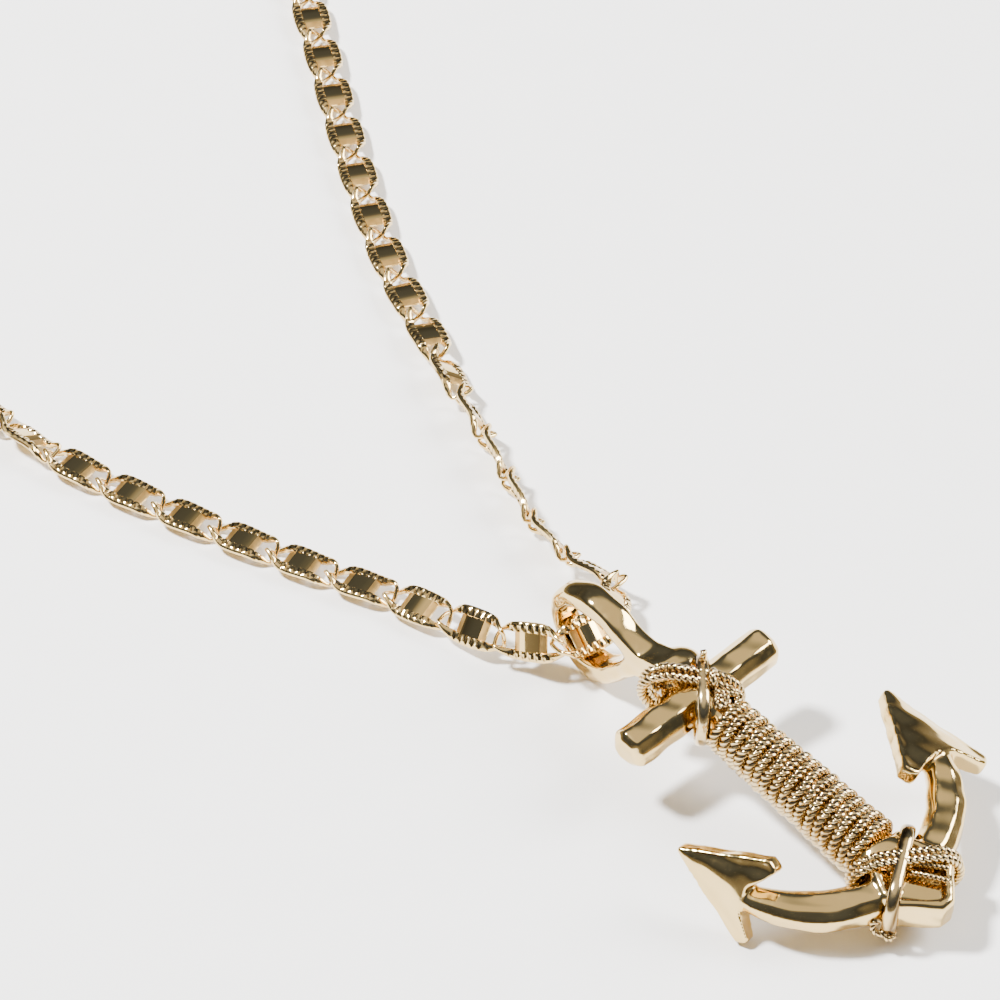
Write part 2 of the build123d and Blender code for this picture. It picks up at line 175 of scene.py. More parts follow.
ROUTE = (                       # x, y from the stock crossing, height, degrees of roll
    (0.8, 13.15, 4.5, -39), (-2.2, 14.7, 3.75, -64), (-4.15, 20.4, 2.4, -50),
    (-5.1, 26.6, 1.45, -19), (-6.5, 32.4, 1.04, 0), (-8.6, 37.9, 1.04, 0),
    (-12.0, 48.8, 1.04, 0), (-15.0, 60.3, 1.04, 0), (-16.1, 68.0, 1.45, 32),
    (-16.4, 76.0, 1.32, 15), (-20.5, 86.0, 1.04, 0), (-36.0, 104.0, 1.04, 0),
    (-50.0, 127.0, 1.04, 0), (-50.0, 155.0, 1.04, 0), (-31.0, 181.0, 1.04, 0),
    (2.0, 191.0, 1.04, 0), (35.0, 181.0, 1.04, 0), (55.0, 156.0, 1.04, 0),
    (57.0, 128.0, 1.04, 0), (49.0, 106.0, 1.04, 0), (40.5, 91.3, 1.04, 0),
    (31.2, 76.4, 1.04, 0), (23.2, 62.5, 1.04, 0), (18.4, 51.6, 1.3, -10),
    (15.3, 44.6, 1.7, -50), (12.2, 37.0, 1.75, -72), (9.2, 29.8, 1.75, -72),
    (7.4, 24.4, 2.0, -55), (8.0, 17.9, 2.8, -40), (4.2, 13.7, 3.6, -44),
)

# Room: lamps by direction, distance and size in metres, and grey by the height of the view
LAMPS = {"key": ((-0.40, 0.50, 1.0), 0.9, 0.12), "fill": ((0.9, -0.5, 0.8), 1.1, 0.60)}
LAMP_AIM = (0.0, -0.08, 0.0)
ROOM_SHADES = ((0.0, "#A8A296"), (0.2, "#8A8478"), (0.36, "#46494E"), (0.55, "#585E6A"),
               (0.70, "#5C626E"), (0.77, "#6E7278"), (0.86, "#DAD6CC"), (0.9, "#FFF4E0"))
ROOM_STRENGTH = 1.0
FLOOR_DROP = 0.02               # mm below the part
COLOUR_DRIFT = 4.0              # mm, how wide the gold's patches of colour are
WEAR_GRAIN = 0.5                # mm, of its finer wear
BOARD_MOTTLE = 6.0              # mm

# Camera, from the photograph: it looks at the picture's middle from this place
CAMERA_AT = (-245.285, -312.51, 352.15)
CAMERA_HEADING = 43.7           # degrees that the view turns from +Y towards +X
CAMERA_ELEVATION = 44.0
CAMERA_LENS = 209.5             # mm, on a 36 mm wide picture


# Colour and number helpers

def linear(colour):
    """Linear red, green and blue of an sRGB hex colour, by the sRGB curve."""
    values = [int(colour[i:i + 2], 16) / 255 for i in (1, 3, 5)]
    return tuple(v / 12.92 if v <= 0.04045 else ((v + 0.055) / 1.055) ** 2.4 for v in values)


def unit(vectors):
    """Vectors of length one."""
    return vectors / np.linalg.norm(vectors, axis=-1, keepdims=True)


def closed_spline(points, steps):
    """Closed curve through points: a Catmull-Rom cubic between each two, in equal steps."""
    points = np.asarray(points, float)
    t = np.arange(len(points) * steps) / steps
    return spline_at(points, t)


def spline_at(points, t):
    """Rows of a closed Catmull-Rom curve at t, where each whole t is one of the points."""
    i = np.floor(t).astype(int)
    f = (t - i)[:, None]
    a, b, c, d = (points[(i + k) % len(points)] for k in (-1, 0, 1, 2))
    return 0.5 * (2 * b + (c - a) * f + (2 * a - 5 * b + 4 * c - d) * f ** 2
                  + (3 * b - a - 3 * c + d) * f ** 3)


def laid_down(points):
    """Points of the anchor's own frame, pitched, rolled and set at the stock crossing."""
    p, r = math.radians(PITCH), math.radians(ROLL)
    pitch = np.array([[1, 0, 0], [0, math.cos(p), -math.sin(p)], [0, math.sin(p), math.cos(p)]])
    roll = np.array([[math.cos(r), 0, -math.sin(r)], [0, 1, 0], [math.sin(r), 0, math.cos(r)]])
    return points @ (pitch @ roll).T + np.array(STOCK_CROSSING)


# Mesh helpers

def skin(rings, loop=False):
    """Points and faces over rings of points: quads from ring to ring, and where the rings
    aren't a loop, a fan from each end ring to its middle. Turned outwards by its volume."""
    count, around = rings.shape[:2]
    points = rings.reshape(-1, 3)
    index = np.arange(count * around).reshape(count, around)
    beside = np.roll(index, -1, axis=1)
    rows = slice(None) if loop else slice(0, -1)
    quads = np.stack([index, beside, np.roll(beside, -1, 0), np.roll(index, -1, 0)], -1)[rows]
    quads = quads.reshape(-1, 4)
    fans = np.zeros((0, 3), int)
    if not loop:
        middles = rings[[0, -1]].mean(axis=1)
        first = np.stack([beside[0], index[0], np.full(around, len(points))], -1)
        last = np.stack([index[-1], beside[-1], np.full(around, len(points) + 1)], -1)
        points = np.concatenate([points, middles])
        fans = np.concatenate([first, last])
    triangles = np.concatenate([quads[:, [0, 1, 2]], quads[:, [0, 2, 3]], fans])
    a, b, c = (points[triangles[:, k]] for k in range(3))
    if np.einsum("ij,ij->i", a, np.cross(b, c)).sum() < 0:
        quads, fans = quads[:, ::-1], fans[:, ::-1]
    return points, quads, fans


def make_piece(name, skins, material, replaces, crest=None, sharp=40.0):
    """One mesh object from several skins, in metres, riding on the only body. Edges that
    bend by more than sharp degrees stay sharp."""
    points, faces, start = [], [], 0
    for own, quads, fans in skins:
        points.append(own * MM)
        faces += (quads + start).tolist() + (fans + start).tolist()
        start += len(own)
    mesh = bpy.data.meshes.new(name)
    mesh.from_pydata(np.concatenate(points).tolist(), [], faces)
    if crest is not None:
        layer = mesh.attributes.new("crest", "FLOAT", "POINT")
        layer.data.foreach_set("value", crest.astype(np.float32))
    mesh.shade_smooth()
    mesh.set_sharp_from_angle(angle=math.radians(sharp))
    mesh.materials.append(material)
    piece = bpy.data.objects.new(name, mesh)
    bpy.context.scene.collection.objects.link(piece)
    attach(piece, "root")
    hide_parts(replaces)
    return piece


def weld(piece):
    """Merge the points that two skins or a pole share, and drop faces without area."""
    shape = bmesh.new()
    shape.from_mesh(piece.data)
    bmesh.ops.remove_doubles(shape, verts=shape.verts, dist=0.0005 * MM)
    bmesh.ops.dissolve_degenerate(shape, dist=0.0005 * MM, edges=shape.edges)
    shape.to_mesh(piece.data)
    shape.free()


def melt_together(piece, voxel, passes, ripple):
    """One cast skin from overlapping ones: remeshed by voxels, smoothed so that edges and
    inner corners round off, and pushed along its normals by a slow ripple, which is the
    mean of four sine waves in different directions."""
    union = piece.modifiers.new("union", "REMESH")
    union.mode = "VOXEL"
    union.voxel_size = voxel
    ease = piece.modifiers.new("ease", "SMOOTH")
    ease.factor = 0.5
    ease.iterations = passes
    graph = bpy.context.evaluated_depsgraph_get()
    mesh = bpy.data.meshes.new_from_object(piece.evaluated_get(graph))
    piece.modifiers.clear()
    piece.data = mesh
    count = len(mesh.vertices)
    points, normals = np.empty(count * 3), np.empty(count * 3)
    mesh.vertices.foreach_get("co", points)
    mesh.vertices.foreach_get("normal", normals)
    points, normals = points.reshape(-1, 3), normals.reshape(-1, 3)
    ways = np.array([(1.9, 0.7, 0.4), (-0.6, 1.7, 1.1), (0.9, -1.3, 2.3), (-2.2, -1.6, 0.3)]) / MM
    push = ripple * np.sin(points @ ways.T + np.arange(4)).mean(axis=1)
    mesh.vertices.foreach_set("co", (points + normals * push[:, None]).ravel())
    mesh.shade_smooth()
    mesh.update()


# Material helpers

def add_node(tree, kind, sockets=None, **settings):
    """Add a node with its settings, and its sockets by name as values or as links."""
    node = tree.nodes.new(kind)
    for name, value in settings.items():
        setattr(node, name, value)
    for name, value in (sockets or {}).items():
        if isinstance(value, bpy.types.NodeSocket):
            tree.links.new(value, node.inputs[name])
        else:
            node.inputs[name].default_value = value
    return node


def per_mm(size):
    """Pattern scale that gives features of a size in millimetres on Object coordinates."""
    return 1.0 / (size * MM)


def gold(name, colour, shade, roughness, wave, wave_height, recess_shade=None):
    """Polished gold plate. Colour drifts to shade over a few millimetres, roughness wanders
    between two values, a slow wave bends the mirror as hand polishing does, and where the
    mesh has a low crest value, in notches and grooves, a darker colour is painted in as shade."""
    material = bpy.data.materials.new(name)
    material.use_nodes = True
    tree = material.node_tree
    shader = tree.nodes["Principled BSDF"]
    place = add_node(tree, "ShaderNodeTexCoord").outputs["Object"]
    drift = add_node(tree, "ShaderNodeTexNoise",
                     {"Vector": place, "Scale": per_mm(COLOUR_DRIFT), "Detail": 2.0}).outputs["Fac"]
    wear = add_node(tree, "ShaderNodeTexNoise",
                    {"Vector": place, "Scale": per_mm(WEAR_GRAIN), "Detail": 4.0}).outputs["Fac"]
    tone = add_node(tree, "ShaderNodeMix", {"Factor": drift, "A": (*linear(colour), 1.0),
                                            "B": (*linear(shade), 1.0)}, data_type="RGBA")
    tint = tone.outputs["Result"]
    # Painted shade: a darker colour is mixed in where the crest value is low, in the recesses
    if recess_shade:
        crest = add_node(tree, "ShaderNodeAttribute", attribute_name="crest").outputs["Fac"]
        depth = add_node(tree, "ShaderNodeMapRange",
                         {"Value": crest, "From Min": 0.15, "From Max": 0.75})
        tint = add_node(tree, "ShaderNodeMix",
                        {"Factor": depth.outputs["Result"], "A": (*linear(recess_shade), 1.0),
                         "B": tint}, data_type="RGBA").outputs["Result"]
    polish = add_node(tree, "ShaderNodeMapRange",
                      {"Value": wear, "From Min": 0.3, "From Max": 0.7,
                       "To Min": roughness[0], "To Max": roughness[1]})
    slow = add_node(tree, "ShaderNodeTexNoise",
                    {"Vector": place, "Scale": per_mm(wave), "Detail": 1.0}).outputs["Fac"]
    bump = add_node(tree, "ShaderNodeBump",
                    {"Height": slow, "Distance": wave_height * MM, "Strength": 1.0})
    tree.links.new(tint, shader.inputs["Base Color"])
    tree.links.new(polish.outputs["Result"], shader.inputs["Roughness"])
    tree.links.new(bump.outputs["Normal"], shader.inputs["Normal"])
    shader.inputs["Metallic"].default_value = 1.0
    return material


# Anchor casting

def octagon(width, depth):
    """Corners of a chamfered bar's section: across and up."""
    w, d = width / 2, depth / 2
    cw, cd = CHAMFER_SHARE * width, CHAMFER_SHARE * depth
    return np.array([(w, d - cd), (w - cw, d), (cw - w, d), (-w, d - cd),
                     (-w, cd - d), (cw - w, -d), (w - cw, -d), (w, cd - d)])


def revolved(profile, sides=48):
    """Rings round the Y axis, one for each radius and place along it."""
    turn = np.linspace(0, 2 * np.pi, sides, endpoint=False)
    radius, y = np.array(profile).T
    return np.stack([radius[:, None] * np.cos(turn), np.repeat(y[:, None], sides, 1),
                     radius[:, None] * np.sin(turn)], -1)


def shank_skin():
    """Tapered round bar from the head into the crown."""
    return skin(revolved([(SHANK_RADII[0], 0.0), (SHANK_RADII[1], -SHANK_LENGTH)]))


def head_skins():
    """Round head with eased ends, and the egg-shaped shoulder that the bail grows from."""
    turn = np.linspace(0, np.pi / 2, 5)
    rounding = [(HEAD_RADIUS - HEAD_EASE * (1 - math.sin(a)),
                 HEAD_HALF_LENGTH - HEAD_EASE * (1 - math.cos(a))) for a in turn]
    profile = rounding + [(r, -y) for r, y in rounding[::-1]]
    polar = np.linspace(0.02, np.pi - 0.02, 25)
    ball = revolved([(math.sin(a), math.cos(a)) for a in polar]) * np.array(SHOULDER_RADII)
    return [skin(revolved(profile)), skin(ball + np.array(SHOULDER_AT))]


def stock_skin():
    """Chamfered crossbar, thickest in the middle, with bevelled ends."""
    half = STOCK_LENGTH / 2
    face = STOCK_END - 2 * STOCK_BEVEL
    stations = [(-half, face), (STOCK_BEVEL - half, STOCK_END), (0.0, STOCK_MIDDLE),
                (half - STOCK_BEVEL, STOCK_END), (half, face)]
    rings = []
    for x, side in stations:
        corners = octagon(side, side)
        rings.append(np.column_stack([np.full(8, x), corners]))
    return skin(np.array(rings))


def arm_skin(side, steps=15):
    """Chamfered bar bent on a circle, its width and depth following the table of turns."""
    rings = []
    for turn in np.linspace(ARM_TURNS[0], ARM_TURNS[-1], steps):
        angle = math.radians(turn)
        outward = np.array([side * math.sin(angle), -math.cos(angle), 0.0])
        centre = np.array([0.0, ARM_FOOT_Y + ARM_RADIUS, 0.0]) + outward * ARM_RADIUS
        corners = octagon(np.interp(turn, ARM_TURNS, ARM_WIDTHS),
                          np.interp(turn, ARM_TURNS, ARM_DEPTHS))
        rings.append(centre + corners[:, :1] * outward + corners[:, 1:] * np.array([0, 0, 1.0]))
    return skin(np.array(rings))


def palm_skin(side, length, half_width, behind, tilt, lift, along=14, across=25):
    """Arrowhead over two parameters: v goes from barb to barb along the notched rear edge and
    the barbs' blunt ends, and u from the tip to that edge. Its face swells to a ridge by
    u to the power 0.7 times one less the square of v, and ends in a thin raised rim, a bell
    curve at v = 1. Its back is flat."""
    angle = math.radians(PALM_TURN)
    root = np.array([side * math.sin(angle) * ARM_RADIUS,
                     ARM_FOOT_Y + (1 - math.cos(angle)) * ARM_RADIUS, 0.0])
    splay, lean, rise = (math.radians(a) for a in (PALM_SPLAY, tilt, lift))
    ahead = np.array([side * math.sin(splay), math.cos(splay), math.tan(rise)])
    sideways = np.array([side * math.cos(splay), -math.sin(splay), 0.0])
    up = np.array([0.0, 0.0, 1.0])
    out = sideways * -math.cos(lean) + up * math.sin(lean)
    face = sideways * math.sin(lean) + up * math.cos(lean)
    neck, half_width, length = PALM_NECK / 2, half_width + PALM_GROWN, length + PALM_GROWN
    v = np.linspace(-1, 1, across)[:, None]
    u = np.linspace(PALM_BLUNT, 1, along)[None, :]
    knots = (0, neck / half_width, PALM_BARB_AT, 1)
    rear_out = np.interp(np.abs(v), knots, (0, neck, half_width - PALM_BARB / 2, half_width))
    rear_ahead = np.interp(np.abs(v), knots, (PALM_NOTCH, PALM_NOTCH, 0, PALM_BARB))
    forward = length + (rear_ahead - length) * u - behind
    aside = np.sign(v) * rear_out * u
    swell = PALM_RIDGE * u ** 0.7 * (1 - v ** 2)
    rim = PALM_RIM * np.exp(-((1 - np.abs(v)) / PALM_RIM_SPREAD) ** 2)
    half = PALM_THICKNESS / 2
    top = (root + forward[..., None] * ahead + aside[..., None] * out
           + (half + swell + rim)[..., None] * face)
    back = root + forward[..., None] * ahead + aside[..., None] * out - half * face
    return skin(np.concatenate([top, back[:, ::-1]], axis=1))


def inset(outline, distance):
    """Polygon with each side moved inwards by a distance; its corners run anticlockwise."""
    before, after = np.roll(outline, 1, 0), np.roll(outline, -1, 0)
    first, second = unit(outline - before), unit(after - outline)
    normal_a = np.stack([-first[:, 1], first[:, 0]], -1)
    normal_b = np.stack([-second[:, 1], second[:, 0]], -1)
    share = distance / (1 + np.sum(normal_a * normal_b, axis=1, keepdims=True))
    return outline + (normal_a + normal_b) * share


def crown_skin():
    """Pointed block, its outline at six heights: bevelled below, and above with a raised rim
    round a sunk face."""
    left = [(-x, y) for x, y in CROWN_HALF_OUTLINE]
    outline = np.array(left + list(CROWN_HALF_OUTLINE)[::-1])
    edge = CROWN_HALF_DEPTH - CROWN_RIM_EASE
    steps = ((-CROWN_HALF_DEPTH, CROWN_CHAMFER), (CROWN_CHAMFER - CROWN_HALF_DEPTH, 0.0),
             (edge, 0.0), (CROWN_HALF_DEPTH, CROWN_RIM_EASE), (CROWN_HALF_DEPTH, CROWN_RIM),
             (edge - CROWN_SINK, CROWN_RIM + CROWN_WALL))
    rings = []
    for height, step in steps:
        flat = inset(outline, step)
        rings.append(np.column_stack([flat, np.full(len(flat), height)]))
    return skin(np.array(rings))


def strap_skin(around=72):
    """Smooth band round the shank's foot: a rounded flat section carried round an oval that
    leans a little, with the section's two half axes as the band's width and thickness."""
    turn = np.linspace(0, 2 * np.pi, around, endpoint=False)
    lean = math.radians(STRAP_LEAN)
    out = np.stack([np.cos(turn), np.cos(turn) * math.tan(lean), np.sin(turn)], -1)
    across, through = STRAP_HALF
    path = np.array([0.0, STRAP_Y, 0.0]) + out * np.array([across, across, through])
    angle = np.linspace(0, 2 * np.pi, 20, endpoint=False)
    outward = unit(out * np.array([1.0, 0.0, 1.0]))
    thick = np.sign(np.cos(angle)) * np.abs(np.cos(angle)) ** STRAP_ROUNDNESS * STRAP_THICKNESS / 2
    wide = np.sign(np.sin(angle)) * np.abs(np.sin(angle)) ** STRAP_ROUNDNESS * STRAP_WIDTH / 2
    rings = (path[:, None] + thick[:, None] * outward[:, None]
             + wide[:, None] * np.array([0.0, 1.0, 0.0]))
    return skin(rings, loop=True)


def bail_skin(count=150):
    """Teardrop band: at each angle round the hole's middle, a section reaches from the hole's
    outline, where its corners are rounded, to the outer one, where it is half an ellipse."""
    middle = np.array(BAIL_MIDDLE)
    angles = np.linspace(-np.pi, np.pi, count, endpoint=False)

    def reach(outline):
        spoke = closed_spline(outline, 40) - middle
        heading = np.arctan2(spoke[:, 1], spoke[:, 0])
        order = np.argsort(heading)
        far = np.linalg.norm(spoke, axis=1)
        return np.interp(angles, heading[order], far[order], period=2 * np.pi)

    hole, outer = reach(BAIL_HOLE), reach(BAIL_OUTER)
    half, ease = BAIL_WIDTH / 2, BAIL_HOLE_EASE
    bend = np.linspace(0, np.pi / 2, 7)
    dome = np.stack([half * np.sin(bend[1:]), BAIL_DOME * (np.cos(bend[1:]) - 1)], -1)
    corner = np.stack([half - ease * (1 - np.cos(bend)), ease * (1 - np.sin(bend))], -1)
    # Half of the section as x and the distance from its outline, and then its mirror image
    section = np.concatenate([dome, corner])
    section = np.concatenate([section, section[::-1] * np.array([-1, 1])])
    outside = np.r_[:len(dome), len(section) - len(dome):len(section)]
    distance = np.repeat(hole[:, None], len(section), axis=1)
    distance[:, outside] = outer[:, None]
    distance += section[:, 1]
    rings = np.stack([np.broadcast_to(section[:, 0], distance.shape),
                      middle[0] + np.cos(angles)[:, None] * distance,
                      middle[1] + np.sin(angles)[:, None] * distance], -1)
    return skin(rings, loop=True)


# Ropes

def rope_rings(path, outward, radius, flat, strands, lay, loop, groove=0.3, around=16):
    """Twisted rope along a path. At arc length s, the section at angle a has the radius
    radius * (1 - groove * (1 - |cos(strands * (a - twist(s)) / 2)|)), and twist makes a whole
    turn each lay. flat widens it sideways. Gives the rings and how near each point is to a
    strand's crest."""
    ahead = np.roll(path, -1, 0) - np.roll(path, 1, 0)
    if not loop:
        ahead[0], ahead[-1] = path[1] - path[0], path[-1] - path[-2]
    ahead = unit(ahead)
    side = unit(np.cross(ahead, outward))
    outward = np.cross(side, ahead)
    steps = np.linalg.norm(np.roll(path, -1, 0) - path, axis=1)
    length = np.concatenate([[0], np.cumsum(steps[:-1])])
    total = steps.sum() if loop else length[-1]
    turns = round(total * strands / lay) / strands
    twist = 2 * np.pi * turns * length / total
    angle = np.linspace(0, 2 * np.pi, around, endpoint=False)
    crest = np.abs(np.cos(strands * (angle[None] - twist[:, None]) / 2))
    reach = radius * (1 - groove * (1 - crest))
    rings = (path[:, None] + (reach * np.cos(angle))[..., None] * outward[:, None]
             + (reach * np.sin(angle) * flat)[..., None] * side[:, None])
    return rings, crest.ravel()


def rope_skin(path, outward, loop=True, **section):
    """Skin and crest values of a rope; the caps' middles count as crests."""
    rings, crest = rope_rings(path, outward, loop=loop, **section)
    if not loop:
        crest = np.concatenate([crest, [1.0, 1.0]])
    return skin(rings, loop), crest


def shank_radius(y):
    """Radius of the tapered shank at a place along it."""
    return SHANK_RADII[0] + (SHANK_RADII[1] - SHANK_RADII[0]) * -y / SHANK_LENGTH


def winding(radius, count=2700):
    """Helix of rope round the shank, one turn for each pitch, swaying a little in and out and
    to and fro by sums of two sine waves, and its outward directions."""
    pitch = (ROPE_END_Y - ROPE_START_Y) / ROPE_TURNS
    turns = np.linspace(0.5, ROPE_TURNS - 0.5, count)
    y = ROPE_START_Y + turns * pitch
    angle = 2 * np.pi * turns
    outward = np.stack([np.cos(angle), np.zeros_like(angle), np.sin(angle)], -1)
    sway = np.sin(3.1 * angle) + np.sin(1.37 * angle + 1.0)
    path = outward * (shank_radius(y) + WINDING_GAP + radius + ROPE_SWAY * sway / 2)[:, None]
    path[:, 1] = y + ROPE_SWAY * (np.sin(2.3 * angle) + np.sin(4.7 * angle + 2.0))
    return path, outward


def hoop(x, y, angle, half, reach, beside=0.0, tighter=0.0, count=320):
    """Closed loop with round ends in an upright plane: two straight runs joined by half
    circles, in equal steps of arc length, with its outward directions. It can lie beside
    that plane, and be drawn in tighter."""
    half, reach = half - tighter, reach - tighter
    straight = half - reach
    total = 4 * straight + 2 * np.pi * reach
    s = np.linspace(0, total, count, endpoint=False)
    knots = np.cumsum([0, 2 * straight, np.pi * reach, 2 * straight, np.pi * reach])
    along, rise = np.zeros(count), np.zeros(count)
    out = np.zeros((count, 2))
    for k in range(4):
        here = (s >= knots[k]) & (s < knots[k + 1])
        t = s[here] - knots[k]
        sign = 1 if k < 2 else -1
        if k % 2 == 0:
            along[here], rise[here] = sign * (t - straight), sign * reach
            out[here] = (0, sign)
        else:
            bend = t / reach
            out[here] = np.stack([sign * np.sin(bend), sign * np.cos(bend)], -1)
            along[here] = sign * straight + out[here][:, 0] * reach
            rise[here] = out[here][:, 1] * reach
    way = np.array([math.cos(math.radians(angle)), math.sin(math.radians(angle)), 0.0])
    up = np.array([0.0, 0.0, 1.0])
    middle = np.array([x, y, 0.0]) + beside * np.cross(way, up)
    path = middle + along[:, None] * way + rise[:, None] * up
    return path, out[:, :1] * way + out[:, 1:] * up


def ring_path(x, y, z, radius, lean, heading, count=60):
    """Circle whose plane leans from level about X and then turns about Z."""
    turn = np.linspace(0, 2 * np.pi, count, endpoint=False)
    a, b = math.radians(lean), math.radians(heading)
    out = np.stack([np.cos(turn), np.sin(turn) * math.cos(a), np.sin(turn) * math.sin(a)], -1)
    spin = np.array([[math.cos(b), -math.sin(b), 0], [math.sin(b), math.cos(b), 0], [0, 0, 1.0]])
    out = out @ spin.T
    return np.array([x, y, z]) + radius * out, out


def straight_path(start, end, count=40):
    """Straight run between two points, bowed up by 0.1 at its middle like laid rope."""
    t = np.linspace(0, 1, count)[:, None]
    start, end = np.array(start), np.array(end)
    path = start * (1 - t) + end * t + np.array([0, 0, 0.1]) * np.sin(np.pi * t)
    side = unit(np.cross(end - start, [0.3, 0.2, 1.0]))
    return path, np.tile(side, (count, 1))


def lashing_skins(reach, loops, strands, knots, ends, lay):
    """A cross lashing: one loop of several strands, a smooth loop across it, and the small
    rings and rope ends of its knot."""
    first, second = loops
    parts = [rope_skin(*hoop(reach=reach, beside=step, tighter=inwards, **first),
                       lay=lay, **LASHING_LAY) for step, inwards in strands]
    parts += [rope_skin(*hoop(reach=reach, **second), **BAND_LAY)]
    parts += [rope_skin(*ring_path(**row), **KNOT_LAY) for row in knots]
    parts += [rope_skin(*straight_path(*row), loop=False, **KNOT_LAY) for row in ends]
    return parts


# Chain

def link_skins():
    """One link in its own frame: a wire through its stations, broad along the two rails and
    twisted at both ends, and the plate across its middle. The section at angle a is
    broad * cos(a) outwards and thick * sin(a) across, squared off on the rails' inside and
    falling towards their outside. Two rows of notches, half a step apart, cut the outer and
    the inner half of each rail's face, as the square of a raised cosine. How deep they go at
    a is 1.6 |sin(a)| - 0.7 - 0.3 cos(a), kept between 0 and 1. Gives the skins of wire and
    plate, and how near each of the wire's points is to an uncut face."""
    half_length = (LINK_PITCH + LINK_CLEARANCE) / 2 + WIRE_RADIUS
    half_width = (LINK_WIDTH - RAIL_WIDTH) / 2
    stations = []
    for side, end in ((1, 1), (1, -1), (-1, -1), (-1, 1)):
        for along, across, twist in LINK_OUTLINE[::side * end]:
            turn = math.radians(end * twist * LINK_TWIST)
            a = side * half_width * across
            stations.append((end * half_length * along, a * math.cos(turn), a * math.sin(turn),
                             0, side * math.cos(turn), side * math.sin(turn),
                             WIRE_RADIUS + (RAIL_WIDTH / 2 - WIRE_RADIUS) * (1 - twist),
                             WIRE_RADIUS + (RAIL_THICKNESS / 2 - WIRE_RADIUS) * (1 - twist),
                             1 - twist))
    stations = np.array(stations)
    t = np.linspace(0.5, 4.5, 400)
    x = spline_at(stations, t)[:, 0]
    rail = np.linspace(RAIL_LENGTH / 2, -RAIL_LENGTH / 2, 4 * MILLING + 1)
    first = np.interp(-rail, -x, t)
    end = np.linspace(first[-1], 6 + first[0], 12)[1:-1]
    t = np.concatenate([first, end, first + 6, end + 6])
    rows = spline_at(stations, t)
    path, outward = rows[:, :3], unit(rows[:, 3:6])
    broad, thick, flat = rows[:, 6], rows[:, 7], np.clip(rows[:, 8], 0, 1)
    ahead = unit(np.roll(path, -1, 0) - np.roll(path, 1, 0))
    third = unit(np.cross(ahead, outward))
    second = np.cross(third, ahead)
    angle = 2 * np.pi * (np.arange(12) + 0.5) / 12
    square = 1 - np.where(np.cos(angle) < 0, *RAIL_SQUARENESS) * flat[:, None] ** 3
    wide = np.sign(np.cos(angle)) * np.abs(np.cos(angle)) ** square * broad[:, None]
    rise = np.sign(np.sin(angle)) * np.abs(np.sin(angle)) ** square * thick[:, None]
    phase = 2 * np.pi * MILLING * path[:, :1] / RAIL_LENGTH
    inside = (np.abs(path[:, :1]) < RAIL_LENGTH / 2) * flat[:, None] ** 0.5
    face = np.clip(1.6 * np.abs(np.sin(angle)) - 0.7 - 0.3 * np.cos(angle), 0, 1)
    cut = inside * face * (0.5 + 0.5 * np.sign(np.cos(angle)) * np.cos(phase)) ** 2
    fall = RAIL_FALL * flat[:, None] * (0.5 + 0.5 * np.cos(angle))
    rise = rise * (1 - MILLING_DEPTH * cut) * (1 - fall)
    rings = path[:, None] + wide[..., None] * second[:, None] + rise[..., None] * third[:, None]
    profile = list(PLATE_PROFILE) + [(-x, z) for x, z in PLATE_PROFILE[::-1]]
    rims = np.array([[(x, y, z) for x, z in profile] for y in (-half_width, half_width)])
    return [skin(rings, loop=True), skin(rims)], (1 - np.clip(1.2 * cut, 0, 1)).ravel()


def chain_places():
    """Middles and axes of the links and of the clasp, spaced evenly on the closed route."""
    rows = closed_spline(ROUTE, 40)
    rows = np.concatenate([rows, rows[:1]])
    length = np.concatenate([[0], np.cumsum(np.linalg.norm(np.diff(rows[:, :3], axis=0), axis=1))])
    total = length[-1]
    clasp_span = CLASP_LENGTH - 2 * CLASP_BAR - LINK_CLEARANCE + 2 * CLASP_SLACK
    count = round((total - clasp_span) / LINK_PITCH)
    pitch = (total - clasp_span) / count
    before = count // 2
    middles = np.arange(count) * pitch
    middles[before + 1:] += clasp_span
    middles = np.append(middles, before * pitch + (pitch + clasp_span) / 2)
    spans = np.append(np.full(count, pitch), clasp_span)

    def at(place):
        return np.stack([np.interp(place % total, length, rows[:, k]) for k in range(4)], -1)

    start, end = at(middles - spans / 2)[:, :3], at(middles + spans / 2)[:, :3]
    roll = np.radians(at(middles)[:, 3:])
    along = unit(end - start)
    level = unit(np.cross([0.0, 0.0, 1.0], along))
    upright = np.cross(along, level)
    face = upright * np.cos(roll) - level * np.sin(roll)
    origin = (start + end) / 2 + np.array([STOCK_CROSSING[0], STOCK_CROSSING[1], 0.0])
    return origin, np.stack([along, np.cross(face, along), face], axis=1)


def placed(own_skin, origins, axes):
    """A skin repeated at every place."""
    points, quads, fans = own_skin
    moved = np.einsum("pk,nkj->npj", points, axes) + origins[:, None]
    shift = (np.arange(len(origins)) * len(points))[:, None, None]
    return (moved.reshape(-1, 3), (quads[None] + shift).reshape(-1, 4),
            (fans[None] + shift).reshape(-1, 3))


def clasp_skin():
    """Plain oval ring: a round bar carried along two straight runs and two half circles."""
    reach = (CLASP_WIDTH - CLASP_BAR) / 2
    half = (CLASP_LENGTH - CLASP_BAR) / 2
    path, outward = hoop(x=0, y=0, angle=0, half=half, reach=reach, count=96)
    rings, _ = rope_rings(path, outward, radius=CLASP_BAR / 2, flat=1.0, strands=2, lay=2.0,
                          loop=True, groove=0.0, around=12)
    points, quads, fans = skin(rings, loop=True)
    return points[:, [0, 2, 1]], quads[:, ::-1], fans


# Settings

